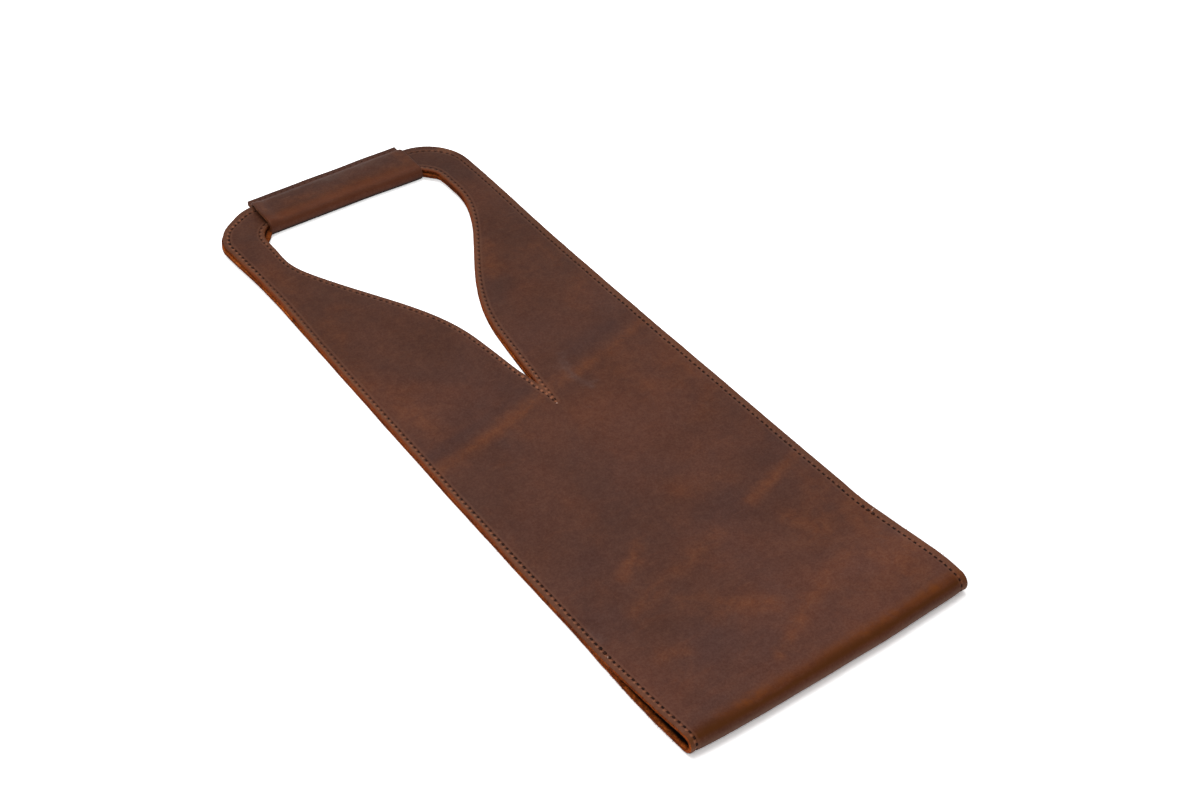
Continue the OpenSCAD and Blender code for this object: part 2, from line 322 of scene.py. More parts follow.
# the stitch beside each flat point, and the distance from the nearest seam
def besideSeams(x, run):
    plain, drifting = np.abs(x), np.abs(x - strip["seamDrift"])
    best = np.full(len(x), 1e9)
    phase, side = np.zeros(len(x)), np.zeros(len(x))
    batch = 4000
    for name, seam in seams.items():
        x = drifting if name == "outer" else plain
        a, b = seam["line"][:-1], seam["line"][1:]
        d = b - a
        length = np.hypot(d[:, 0], d[:, 1])
        for low in range(0, len(x), batch):
            part = slice(low, low + batch)
            px, py = x[part, None] - a[:, 0], run[part, None] - a[:, 1]
            t = np.clip((px * d[:, 0] + py * d[:, 1]) / length**2, 0, 1)
            gapX, gapY = px - t * d[:, 0], py - t * d[:, 1]
            gap = np.hypot(gapX, gapY)
            k = gap.argmin(1)
            row = np.arange(len(k))
            near = gap[row, k]
            turn = (d[k, 0] * gapY[row, k] - d[k, 1] * gapX[row, k]) * seam["inside"]
            here = (seam["run"][k] + t[row, k] * length[k]) / seam["pitch"]
            closer = near < best[part]
            best[part] = np.where(closer, near, best[part])
            side[part] = np.where(closer, np.where(turn >= 0, near, -near), side[part])
            phase[part] = np.where(closer, here, phase[part])
    return phase, side


# 1 beside the outer seam, 0 beside a window's seam
def besideOuter(x, run):
    y = planY(run)
    onBar = y > (innerTop + strip["bars"]) / 2
    return np.where(y > innerTop, onBar, (fromSide(x, y) < fromWindow(x, y)) | (y < strip["outerBelow"])).astype(float)


# how the leather leaves its plain shape, in mm
surface = {
    "swell": (0.35, 52, 3.1),
    "quiet": (14, (398, 360)),  # no swell at the sides, nor on the bars
    "frontFrom": (8, 30), "crease": ((0.34, 0, 2.8), (-0.14, 6.5, 4), (0.25, 14, 6)), "creaseEnds": (76, 66),
    "rollWave": (0.22, 17, 8.4), "rollSlow": 0.4, "rollWaveAt": (1, 10, 16),
    "wobble": ((0.22, 15, 1.7), (0.10, 4.5, 5.2)),  # of the cut edges
    "wobbleSlow": 0.02, "groove": ((0.32, 0, 0.62), (0.10, 0, 2.4)), "nap": (0.05, 1.6, 12.3),
    "swollen": (0.35, (5, 0.5), (96, 74)),  # raw edges of the opening: height, distance in, y
    "fibre": ((0.6, 2.1), (0.4, 0.9)),  # roughness of a cut edge: share and size
}


# slow swells and the storage crease, over the plain profile
def swell(x, run):
    y = planY(run)
    edge, bars = surface["quiet"]
    height, *swelling = surface["swell"]
    rise = height * (1 + ripple(x, run, *swelling)) * (smooth(0, edge, fromSide(x, y, cornerY)) * smooth(*bars, y))
    fold = humps(y - strip["crease"][0] - strip["crease"][1] * x, *surface["crease"])
    fold = fold * smooth(*surface["creaseEnds"], np.abs(x))
    rollWave = waves(x, run * surface["rollSlow"], surface["rollWave"]) * humps(run, surface["rollWaveAt"])
    return smooth(*surface["frontFrom"], run) * (rise + fold) + rollWave


# (x, run, height over the outer face) to the frame, in metres
def onStrip(x, run, height):
    y, z, ny, nz = (np.interp(run, profile["run"], profile[key]) for key in ("y", "z", "ny", "nz"))
    edge = np.clip(np.abs(x) / drift["half"], 0, 1) ** 6 * np.sign(x)
    wobble = edge * waves(x * surface["wobbleSlow"], run, *surface["wobble"])
    planX, upStrip = drifted(x, y, run > 0)
    point = np.stack([planX + wobble, upStrip - strip["middle"] + ny * height, z + nz * height], 1) * mm
    return point, np.stack([np.zeros(len(x)), ny, nz], 1)


def setValues(piece, painted):
    for name, values in painted.items():
        layer = piece.data.attributes.new(name, "FLOAT", "POINT")
        layer.data.foreach_set("value", np.asarray(values, np.float32))


def getValues(piece, *names):
    values = np.zeros((len(names), len(piece.data.vertices)), np.float32)
    for name, row in zip(names, values):
        piece.data.attributes[name].data.foreach_get("value", row)
    return values.astype(float)


# a grid whose points carry flat[row, column], one value for each name
def gridSheet(flat, *names):
    rows, columns = flat.shape[:2]
    bm = bmesh.new()
    bmesh.ops.create_grid(bm, x_segments=columns - 1, y_segments=rows - 1, size=1)
    layers = [bm.verts.layers.float.new(name) for name in names]
    for v in bm.verts:
        i, j = round((v.co.y + 1) / 2 * (rows - 1)), round((v.co.x + 1) / 2 * (columns - 1))
        for layer, value in zip(layers, flat[i, j]):
            v[layer] = value
        v.co = Vector((flat[i, j, 0], flat[i, j, 1], 0)) * mm
    return bm, layers


def readLayers(verts, layers):
    return np.array([[v[layer] for layer in layers] for v in verts]).T


# sets a copy of the sheet inside it and roughens the cut edge between them
def giveThickness(bm, insideOf, rough):
    flatLayers = [bm.verts.layers.float[name] for name in ("flatX", "flatRun")]
    depth = bm.verts.layers.float.new("depth")  # 0 on the outer face, 1 on the inner one
    made = bmesh.ops.extrude_face_region(bm, geom=bm.faces[:], use_keep_orig=True)
    inner = [g for g in made["geom"] if isinstance(g, bmesh.types.BMVert)]
    for v, co in zip(inner, insideOf(*readLayers(inner, flatLayers))):
        v.co = co
        v[depth] = 1
    crossing = [e for e in bm.edges if abs(e.verts[0][depth] - e.verts[1][depth]) > 0.5]
    bmesh.ops.subdivide_edges(bm, edges=crossing, cuts=2, use_grid_fill=True)
    bmesh.ops.recalc_face_normals(bm, faces=bm.faces[:])
    bm.normal_update()
    between = [(v, v.normal.copy()) for v in bm.verts if 0.1 < v[depth] < 0.9]
    for v, normal in between:
        fibre = sum(share * noise.noise(v.co / mm / size) for share, size in surface["fibre"])
        v.co += normal * (rough[0] + rough[1] * fibre) * mm
    for f in bm.faces:
        f.smooth = True
        depths = [v[depth] for v in f.verts]
        f.material_index = 0 if max(depths) < 0.1 else 1 if min(depths) > 0.9 else 2
    for e in bm.edges:
        if len({f.material_index for f in e.link_faces}) > 1 and min(v[depth] for v in e.verts) > 0.9:
            e.smooth = False


def finishMesh(name, bm, materials):
    made = bpy.data.meshes.new(name)
    bm.to_mesh(made)
    bm.free()
    for material in materials:
        made.materials.append(material)
    return addObject(name, made)


def setInputs(tree, node, inputs):
    for key, value in inputs.items():
        if isinstance(value, bpy.types.NodeSocket):
            tree.links.new(value, node.inputs[key])
        else:
            node.inputs[key].default_value = value


def addNode(tree, kind, inputs=None, **settings):
    made = tree.nodes.new("ShaderNode" + kind)
    for key, value in settings.items():
        setattr(made, key, value)
    setInputs(tree, made, inputs or {})
    return made


def srgb(r, g, b):
    channels = [c / 255 for c in (r, g, b)]
    return tuple([c / 12.92 if c < 0.04045 else ((c + 0.055) / 1.055) ** 2.4 for c in channels] + [1])


class Finish:
    def __init__(self, name):
        self.material = bpy.data.materials.new(name)
        self.material.use_nodes = True
        self.tree = self.material.node_tree
        self.shader = self.tree.nodes["Principled BSDF"]
        self.place = addNode(self.tree, "TexCoord").outputs["Object"]
        self.height = 0

    def noise(self, scale, detail=2, rough=0.5, warp=0, stretch=None, turn=0):
        place = self.place
        if stretch:
            inputs = {"Vector": place, "Scale": stretch, "Rotation": (0, 0, turn)}
            place = addNode(self.tree, "Mapping", inputs).outputs["Vector"]
        inputs = {"Vector": place, "Scale": scale, "Detail": detail, "Roughness": rough, "Distortion": warp}
        return addNode(self.tree, "TexNoise", inputs).outputs["Fac"]

    # a noise between two limits, and the range it is brought to
    def patches(self, limits, *noise):
        return self.span(self.noise(*noise), *limits)

    def attribute(self, name):
        return addNode(self.tree, "Attribute", attribute_name=name).outputs["Fac"]

    def math(self, operation, a, b=0, c=0):
        return addNode(self.tree, "Math", {0: a, 1: b, 2: c}, operation=operation).outputs[0]

    def times(self, product, *more):
        for value in more:
            product = self.math("MULTIPLY", product, value)
        return product

    def span(self, value, low, high, toLow=0, toHigh=1):
        inputs = {"Value": value, "From Min": low, "From Max": high, "To Min": toLow, "To Max": toHigh}
        return addNode(self.tree, "MapRange", inputs, interpolation_type="SMOOTHSTEP").outputs["Result"]

    def mix(self, amount, a, b, blend="MIX"):
        return addNode(self.tree, "Mix", {0: amount, 6: a, 7: b}, data_type="RGBA", blend_type=blend).outputs[2]

    def ground(self, low, high, *patches):
        self.colour = self.mix(self.patches(*patches), srgb(*low), srgb(*high))

    # a tone laid over the colour so far, by the product of the amounts
    def lay(self, tone, *amounts):
        self.colour = self.mix(self.times(*amounts), self.colour, srgb(*tone))

    def shade(self, red, green, blue):
        tint = addNode(self.tree, "CombineColor", {0: red, 1: green, 2: blue}).outputs[0]
        self.colour = self.mix(1, self.colour, tint, "MULTIPLY")

    def emboss(self, value, amount):
        self.height = self.math("MULTIPLY_ADD", value, amount, self.height)

    def finish(self, rough, shine, height, distance, strength):
        bump = addNode(self.tree, "Bump", {"Height": height, "Distance": distance, "Strength": strength})
        inputs = {"Base Color": self.colour, "Roughness": rough, "Specular IOR Level": shine, "Normal": bump.outputs[0]}
        setInputs(self.tree, self.shader, inputs)
        return self.material


grain = {
    # pale: pale hairlines and flecks of the leather, and a painted highlight beside the seams
    "deep": (74, 41, 29), "mid": (86, 48, 34), "warm": (99, 54, 33), "rust": (111, 60, 31), "paleAndHighlight": (118, 77, 57),
    # dusk: a darker bluish tone, partly the leather's own, partly painted sheen, on the sleeve painted shade; scuff:
    # real scuffs on the strip, painted sheen on the sleeve
    "duskShadeAndSheen": (66, 39, 33), "scuffAndSheen": (87, 63, 58),
    "gripAndPaintedLight": (98, 44, 10),  # where the hand wears the sleeve, and painted light on its lower curve
    # pucker: a painted highlight on the bridges between stitches; pit: painted shade in the stitch pits and under the
    # sleeve
    "burnt": (78, 42, 18), "margin": (122, 76, 46), "edgeTan": (112, 45, 4), "pucker": (160, 101, 72),
    # foldPaintedSheen: a painted sheen on the front of the roll
    "pit": (12, 3, 1), "foldPaintedSheen": (124, 88, 68), "foldRust": (109, 58, 24),
    # noises: limits and range, then scale, detail, roughness, warp, stretch and turn
    "ground": ((0.36, 0.66), 15, 3, 0.55, 0.3),
    "clouds": (  # tone and amount first
        ("warm", 0.28, (0.48, 0.72), 36, 4, 0.62, 0.6),
        ("warm", 0.22, (0.52, 0.76), 75, 3, 0.6, 0.5, (0.45, 1.6, 1), -0.35),
        ("duskShadeAndSheen", 0.28, (0.52, 0.74), 27, 4, 0.6, 0.7, (1, 0.7, 1), 0.5),
    ),
    "worn": ((0.30, 0.66, 0.30, 1), 120, 4, 0.65, 0.6),
    "hairs": (
        ((0.62, 0.78), 70, 3, 0.7, 0.8, (1, 12, 1), 0.9),
        ((0.64, 0.78), 80, 3, 0.7, 0.8, (1, 13, 1), -0.4),
    ),
    "hairShare": 0.20, "wrinkled": ((0.42, 0.66), 90, 3, 0.6),
    "wrinkleCells": (520, 0.09),  # scale, and width of a wrinkle
    "foldStreak": ((0.34, 0.66, 0.84, 1), 150, 4, 0.65, 0.4, (3, 0.6, 0.6)),
    "foldFlakes": ((0.34, 0.62, 0.4, 1), 130, 4, 0.65, 0.7), "flecks": ((0.45, 0.65), 520, 3, 0.7),
    "fuzz": ((0.30, 0.55, 0.45, 1), 260, 3, 0.7), "roughness": ((0.3, 0.75, 0.50, 0.66), 45, 4, 0.6),
    "markShares": {"duskShadeAndSheen": 0.70, "rust": 0.66, "scuffAndSheen": 0.70},
    # how much handling darkens red, green and blue; the same attribute also carries painted shade and painted light
    "handledAndPaintedLight": (0.19, 0.23, 0.34),
    "contrast": ((0.11, 0.14), (0.16, 0.26), (0.18, 0.32)),  # coarse and fine, in red, green and blue
    "relief": {"pores": 0.07, "dents": 0.16, "wrinkle": -0.035, "hairs": 0.02},
    "shine": 0.15, "foldShine": 0.02, "bump": (0.0009, 1),
}

# the leather along a seam, in mm from the bridge between two stitches and from the row;
# pairs are the value beside a window and what the outer seam adds
seamLook = {
    "ragged": ((0.3, 0.7, -0.22, 0.22), 420), "pitFrom": (1.12, -0.30), "pitHalf": (0.16, 0.10),
    "pitSoft": (0.30, 0.32), "bridge": (1, 0.45), "bridgeSide": (1, 0.3), "bridgeIn": 0.55,
    "pucker": ((1.9, 0.9), (0.3, 0.6)), "margin": ((-0.8, -1.6), (-4.6, -3.4)),
    "relief": {"pit": -0.5, "bridge": 0.34, "pucker": 0.10},
}


# the burnished fold, faintly streaked across, with a painted sheen on the roll's front; gives the roughness and the
# shine
def burnishFold(m, rough):
    wear = m.attribute("foldWear")
    m.lay(grain["foldRust"], m.attribute("foldRust"), m.patches(*grain["foldFlakes"]), 0.85)
    m.lay(grain["burnt"], wear, m.patches(*grain["foldStreak"]))
    m.lay(grain["foldPaintedSheen"], m.attribute("foldPaintedSheen"), 0.40)
    shine = m.span(m.attribute("foldDull"), 0, 1, grain["shine"], grain["foldShine"])
    return m.math("MULTIPLY_ADD", wear, -0.12, rough), shine


# painted shade in a pit round each stitch, a painted highlight on the puckered leather beside the row and on the
# bridges between the stitches, a rubbed margin outside them
def puckerSeams(m):
    gap, outside = m.attribute("seamGap"), m.attribute("seamOuter")
    part = m.math("SUBTRACT", m.math("FRACT", m.math("ADD", m.attribute("seamStep"), 0.5)), 0.5)
    ragged = m.patches(*seamLook["ragged"])
    along = m.math("MULTIPLY_ADD", m.math("ABSOLUTE", part), strip["pitch"], ragged)
    across = m.math("ABSOLUTE", m.math("MULTIPLY_ADD", ragged, 0.4, gap))
    start, half = (m.math("MULTIPLY_ADD", outside, *seamLook[key][::-1]) for key in ("pitFrom", "pitHalf"))
    softAlong, softAcross = seamLook["pitSoft"]
    long = m.span(along, start, m.math("ADD", start, softAlong))
    narrow = m.span(across, m.math("ADD", half, softAcross), half)
    pit = m.times(long, narrow, m.attribute("seamShade"))
    side = m.math("ABSOLUTE", m.math("ADD", gap, seamLook["bridgeIn"]))
    bridge = m.times(m.span(along, *seamLook["bridge"]), m.span(side, *seamLook["bridgeSide"]))
    pucker = m.times(*[m.span(across, *limits) for limits in seamLook["pucker"]])
    margin = m.times(*[m.span(gap, *limits) for limits in seamLook["margin"]])
    m.lay(grain["margin"], margin, m.attribute("marginWear"))
    m.lay(grain["paleAndHighlight"], margin, m.patches(*grain["flecks"]), 0.16)
    # painted highlight on the puckered leather and on the bridges
    m.lay(grain["paleAndHighlight"], pucker, 0.25)
    m.lay(grain["pucker"], bridge, m.attribute("seamPaintedHighlight"))
    m.lay(grain["edgeTan"], m.attribute("edgeWear"), m.patches(*grain["fuzz"]))
    # painted shade in the pits
    m.lay(grain["pit"], pit)
    for name, value in (("pit", pit), ("bridge", bridge), ("pucker", pucker)):
        m.emboss(value, seamLook["relief"][name])


def grainLeather(name, sewn):
    m = Finish(name)
    m.ground(grain["deep"], grain["mid"], *grain["ground"])
    for tone, amount, *cloud in grain["clouds"]:
        m.lay(grain[tone], m.patches(*cloud), amount)
    worn = m.patches(*grain["worn"])
    for tone, share in grain["markShares"].items():
        m.lay(grain[tone], m.attribute(tone + "Tone"), share, 1 if tone == "duskShadeAndSheen" else worn)
    # the fine grain changes the lightness more than the hue; its fine speckle is partly a painted glint of the grain
    mottle, speckleAndGlint = m.noise(240, 4, 0.65, 0.3), m.noise(900, 3, 0.75)
    # patina from handling, together with painted shade and painted light, darkens or lightens the colour
    handledAndPaintedLight = m.attribute("handledAndPaintedLight")
    m.shade(*[
        m.times(
            m.span(mottle, 0.28, 0.72, 1 - coarse, 1 + coarse),
            m.span(speckleAndGlint, 0.30, 0.70, 1 - fine, 1 + fine),
            m.math("MULTIPLY_ADD", handledAndPaintedLight, -darker, 1),
        )
        for (coarse, fine), darker in zip(grain["contrast"], grain["handledAndPaintedLight"])
    ])
    hairs = [m.patches(*hair) for hair in grain["hairs"]]
    m.lay(grain["paleAndHighlight"], m.math("MAXIMUM", *hairs), grain["hairShare"])
    scale, width = grain["wrinkleCells"]
    cells = addNode(m.tree, "TexVoronoi", {"Vector": m.place, "Scale": scale}, feature="DISTANCE_TO_EDGE")
    relief = {
        "pores": m.noise(1000, 3, 0.65),
        "dents": m.noise(150, 4, 0.55),
        "wrinkle": m.times(m.span(cells.outputs["Distance"], 0, width, 1, 0), m.patches(*grain["wrinkled"])),
        "hairs": m.math("ADD", *hairs),
    }
    for part, value in relief.items():
        m.emboss(value, grain["relief"][part])
    rough, shine = m.patches(*grain["roughness"]), grain["shine"]
    if sewn:
        rough, shine = burnishFold(m, rough)
        puckerSeams(m)
    else:
        # wear of the grip together with painted light on the sleeve's lower curve
        m.lay(grain["gripAndPaintedLight"], m.attribute("wornAndLitTone"), 0.4)
        # painted shade on the sleeve's lower curve and underside
        m.lay(grain["pit"], m.attribute("paintedShadeTone"), 0.8)
    return m.finish(rough, shine, m.height, *grain["bump"])


raw = {
    "fleshSide": {"tones": ((150, 70, 22), (190, 98, 38), (66, 28, 10)), "spots": 260, "nap": 600},
    "cutEdge": {"tones": ((122, 52, 13), (158, 74, 22), (54, 24, 11)), "spots": 130, "nap": 900},
    # deep: painted shade inside the roll and beside the front layer's edge
    "deep": (12, 4, 1),  # inside the roll
    # gap: painted shade on the cut edge towards the gap between the layers
    "gap": (38, 16, 7),  # towards the gap between the layers
    "dark": (70, 30, 10),  # round the handle
    "shine": 0.08, "bump": (0.0010, 1),
}


def rawLeather(name):
    m = Finish(name)
    low, high, spot = raw[name]["tones"]
    m.ground(low, high, (0.35, 0.65), 80, 4, 0.6, 0.4)
    m.lay(spot, m.patches((0.54, 0.72), raw[name]["spots"], 4, 0.7), 0.75)
    nap = m.noise(raw[name]["nap"], 4, 0.75)
    m.lay(raw["dark"], m.attribute("edgeDark"), m.patches((0.38, 0.58, 0.5, 1), 170, 3, 0.6))
    m.shade(*[m.span(nap, 0.32, 0.68, 0.45, 1.45)] * 3)
    if name == "cutEdge":
        # painted shade on the cut edge towards the gap between the layers
        m.lay(raw["gap"], m.span(m.attribute("depth"), 0.70, 0.98, 0, 0.75))
    else:
        # painted shade deep inside the roll and in a line beside the front layer's edge
        m.lay(raw["deep"], m.attribute("hollowShade"))
    return m.finish(m.span(nap, 0.3, 0.7, 0.80, 0.95), raw["shine"], nap, *raw["bump"])


# plainer finishes: two tones, limits, roughness, shine, bump, noise, and maybe one for the roughness
simple = {
    # sleeveInsidePaintedShade: near black, a painted shade inside the sleeve and under its lifted ends
    "sleeveInsidePaintedShade": ((28, 13, 8), (54, 28, 17), (0.35, 0.65), (0.6, 0.8), 0.12, (0.0004, 0.8), (700, 4, 0.7)),
    "sleeveEdge": ((72, 36, 20), (116, 70, 44), (0.35, 0.65), (0.6, 0.8), 0.12, (0.0004, 0.8), (700, 4, 0.7)),
    "waxedThread": ((30, 13, 7), (58, 30, 19), (0.35, 0.65), (0.5, 0.65), 0.10, (0.0003, 0.7),
                    (700, 2, 0.6, 0, (1, 1, 1), 0.6), (300, 2)),
    "meltedThread": ((176, 140, 124), (96, 60, 46), (0.4, 0.75), (0.3, 0.45), 0.35, (0.0002, 0.5), (900, 2, 0.6)),
}


def simpleFinish(name):
    low, high, limits, rough, shine, bump, *noises = simple[name]
    m = Finish(name)
    m.ground(low, high, limits, *noises[0])
    return m.finish(m.patches((0.3, 0.7, *rough), *noises[-1]), shine, m.noise(*noises[0]), *bump)


stripGrain, sleeveGrain = grainLeather("stripGrain", True), grainLeather("sleeveGrain", False)
fleshSide, cutEdge = rawLeather("fleshSide"), rawLeather("cutEdge")
sleeveInsidePaintedShade, sleeveEdge, threadFinish, meltedThread = [simpleFinish(name) for name in simple]
print("materials made")


mesh = {
    "edgeColumns": (0, 0.18, 0.5, 1.1, 1.9, 2.4, 2.8, 3.2, 3.6, 4, 4.6, 6),  # mm in from a cut edge
    "midColumns": 26, "barRows": 18, "cornerRows": 14, "frontStep": 2.1, "backStep": 4,
    "armsFrom": 20,  # how far under the window's corner the arms' rows begin to slant
    "fine": (82, 1.05),  # rows lie closer below this y, where the roll is open
    "bendStep": 0.9,  # and where the strip folds in two
    "rollRows": 27,
}


# rows of the right half from the bar to the roll: inner end, outer end, is the inner end cut, slant
def planRows(step):
    across = np.linspace(0, 1, mesh["barRows"])
    rows = [((windowCornerX * u, innerTop), (cornerX * u, strip["bars"]), True, 1) for u in across]
    inner = arc((windowCornerX, windowCornerY), strip["windowCorner"], 90, 0, mesh["cornerRows"])
    outer = arc((cornerX, cornerY), strip["corner"], 90, 0, mesh["cornerRows"])
    rows += [(tuple(a), tuple(b), True, 1) for a, b in zip(inner[1:], outer[1:])]
    armY = np.linspace(windowCornerY, strip["tip"], round((windowCornerY - strip["tip"]) / step) + 1)[1:]
    for y in armY:
        outY = y + (cornerY - windowCornerY) * float(smooth(windowCornerY - mesh["armsFrom"], windowCornerY, y))
        slope = (windowHalf(y) - windowHalf(y - 0.5)) / 0.5 if y > strip["tip"] + 1 else slitSlope
        rows.append(((max(float(windowHalf(y)), 0), y), (float(sideHalf(outY)), outY), True, math.hypot(1, slope)))
    fineFrom, fineStep = mesh["fine"]
    low, high = strip["bend"][0] - 1, strip["bend"][1] + 1
    for fromY, toY, each in (
        (strip["tip"], high, step), (high, low, mesh["bendStep"]), (low, fineFrom, step), (fineFrom, rollR, fineStep),
    ):
        for y in np.linspace(fromY, toY, round((fromY - toY) / each) + 1)[1:]:
            rows.append(((0, y), (float(sideHalf(y)), y), False, 1))
    return rows


# the same rows by their run
def layerRows(step, front):
    return [
        ((a[0], float(flatRun(a[1], front))), (b[0], float(flatRun(b[1], front))), cut, slant)
        for a, b, cut, slant in planRows(step)
    ]


def stripRows():
    front, back = layerRows(mesh["frontStep"], True), layerRows(mesh["backStep"], False)
    turn = np.linspace(front[-1][0][1], float(flatRun(rollR, False)), mesh["rollRows"] + 2)[1:-1]
    return front + [((0, run), (strip["halfWidths"][0], run), False, 1) for run in turn] + back[::-1]


def columnShares(width, slant):
    edge = np.array(mesh["edgeColumns"])
    low, high = edge * slant / width, 1 - edge / width
    middle = np.linspace(low[-1], high[-1], mesh["midColumns"] + 2)[1:-1]
    return np.concatenate([low, middle, high[::-1]])


def makeStripSheet():
    rows = stripRows()
    edge = np.array(mesh["edgeColumns"])
    columns = 2 * len(edge) + mesh["midColumns"]
    flat = np.zeros((len(rows), columns, 3))  # x, run, distance from the nearest cut edge
    flat[:, :, 2] = 9
    flat[:, -len(edge):, 2] = edge[::-1]
    for i, (a, b, cut, slant) in enumerate(rows):
        a, b = np.array(a, float), np.array(b, float)
        flat[i, :, :2] = a + (b - a) * columnShares(np.hypot(*(b - a)), slant)[:, None]
        if cut:
            flat[i, : len(edge), 2] = edge
    bm, layers = gridSheet(flat, "flatX", "flatRun", "cutGap")
    bmesh.ops.mirror(bm, geom=bm.verts[:] + bm.edges[:] + bm.faces[:], axis="X", merge_dist=1e-6)
    for v in bm.verts:
        v[layers[0]] = v.co.x / mm
    bmesh.ops.recalc_face_normals(bm, faces=bm.faces[:])
    if bm.faces[:][0].normal.z < 0:
        bmesh.ops.reverse_faces(bm, faces=bm.faces[:])
    return bm, layers


def roundEdge(away, radius):
    return radius - np.sqrt(radius**2 - np.clip(radius - away, 0, radius) ** 2)


def stripOutside(x, run, away):
    groove = humps(besideSeams(x, run)[1], *surface["groove"])
    return onStrip(x, run, swell(x, run) - groove - roundEdge(away, strip["edgeRound"]))[0]


def stripInside(x, run):
    y = planY(run)
    height, fromEdge, upTo = surface["swollen"]
    swollen = height * smooth(*fromEdge, fromSide(x, y)) * smooth(*upTo, y)
    lift = np.clip(swell(x, run), -0.05, 3) + waves(x, run, surface["nap"])
    return onStrip(x, run, lift - strip["leather"] - swollen)[0]


bm, layers = makeStripSheet()
for v, co in zip(bm.verts, stripOutside(*readLayers(bm.verts, layers))):
    v.co = co
giveThickness(bm, stripInside, (0.10, 0.25))
bodyStrip = finishMesh("bodyStrip", bm, [stripGrain, fleshSide, cutEdge])

# marks on the front: rust and scuffs from handling, dusk patches partly painted sheen; from x, y to x, y, half width,
# strength
marks = {
    "rust": (
        (-72, 187, -40, 193, 3.4, 0.7), (-44, 193, -18, 198, 3.8, 1), (-18, 198, 5, 206, 4.2, 1),
        (5, 206, 19, 209, 3.6, 0.8), (18, 207, 44, 212, 4.2, 0.9), (44, 212, 70, 219, 3, 0.8),
        (-42, 90.6, -26, 100, 3, 0.9), (-51, 72, 9, 87.5, 4.5, 0.5), (33, 95, 54, 101, 3.2, 0.9),
        (54, 101, 70, 107, 2.4, 0.8), (41, 76, 47, 62, 5, 0.7), (28, 39, 47, 44, 4, 0.6),
        (-19, 16, 4, 27, 3.4, 0.8), (4, 27, 24, 37, 4.2, 0.6), (-17, 52, -1, 41, 5.5, 0.7),
        (-56, 44, -48, 40, 4.5, 0.5), (60, 20, 72, 32, 9, 0.6), (-60, 212, -60, 238, 8, 0.6),
        (-25, 186, -22, 190, 6, 0.5), (40, 185, 43, 183, 7, 0.4), (66, 183, 68, 176, 5, 0.6),
        (-66, 350, -64, 332, 6, 0.5), (-62, 302, -61, 288, 6, 0.4), (28, 290, 38, 308, 5, 0.7),
        (60, 296, 66, 286, 7, 0.4), (10, 118, 34, 112, 7, 0.35), (-52, 150, -38, 142, 9, 0.12),
        (48, 152, 62, 160, 8, 0.35), (-30, 64, -20, 60, 6, 0.4), (52, 250, 66, 262, 8, 0.35),
        (-48, 268, -40, 256, 7, 0.3), (58, 18, 70, 68, 9, 0.65), (42, 62, 62, 84, 9, 0.45),
        (56, 176, 70, 204, 9, 0.4), (28, 22, 58, 20, 8, 0.35), (36, 200, 56, 176, 12, 0.25),
        (3, 206, 0, 197, 2.4, 0.6), (-68, 250, -68, 350, 6.5, 0.3), (-5, 182, 30, 190, 9, 0.2),
        (30, 198, 68, 200, 9, 0.2),
    ),
    "duskShadeAndSheen": (
        (-70, 197, -40, 203, 5, 1), (-40, 203, -8, 210, 4.2, 0.8), (28, 220, 54, 225, 4.4, 0.9),
        (-50, 104, -44, 108, 8, 0.7), (-66, 78, -58, 72, 8, 0.8), (14, 90, 26, 100, 11, 0.7),
        (58, 114, 68, 118, 8, 0.6), (-42, 34, -32, 38, 9, 0.6), (-22, 20, -14, 24, 7, 0.6),
        (66, 46, 69, 43, 5, 0.7), (52, 186, 56, 184, 6, 0.6), (-38, 188, -34, 184, 6, 0.6),
        (20, 272, 30, 284, 7, 0.7), (50, 374, 64, 366, 8, 0.7), (-44, 240, -26, 236, 9, 0.4),
        (-50, 214, -44, 262, 11, 0.45), (-12, 128, 6, 136, 14, 0.5), (-58, 376, -66, 362, 6, 0.5),
        (8, 234, 26, 250, 8, 0.4), (-66, 208, -18, 215, 9, 0.75), (-62, 140, -48, 142, 9, 0.45),
        (6, 86, 12, 60, 9, 0.4), (62, 236, 66, 250, 8, 0.4), (-52, 221, -24, 223, 9, 0.3),
    ),
    "scuffAndSheen": (
        (22, 222, 17, 206, 1.6, 1), (17, 206, 20, 195, 1.5, 0.8), (14, 214, 20, 213, 1.2, 0.5),
        (18, 198, 24, 197, 1.2, 0.6), (-72, 74, -71, 66, 1.5, 0.5),
    ),
}

# and on the sleeve's upper side, where the scuffs are a painted sheen band and the dusk marks painted shade and sheen
sleeveMarks = {
    "rust": (
        (-38, 383, -12, 384, 3.4, 0.7), (-12, 384, 18, 384, 4, 1), (18, 384, 38, 385, 3.4, 0.6),
        (-44, 398, -42, 386, 2, 0.5), (40, 398, 43, 388, 3.5, 0.7), (-30, 391, -16, 389, 3, 0.5),
    ),
    "duskShadeAndSheen": (
        (-38, 393, -18, 395, 4.5, 0.7), (-16, 397, 0, 396, 3.5, 0.8), (26, 394, 36, 395, 4, 0.7),
        (-40, 404, 40, 404, 1.5, 0.6), (-4, 391, 24, 391, 2, 0.5),
    ),
    "scuffAndSheen": (
        (-2, 396.5, 26, 396.5, 3.2, 0.85), (26, 398, 36, 398, 2, 0.5), (-30, 398, -18, 399, 1.5, 0.4),
    ),
}


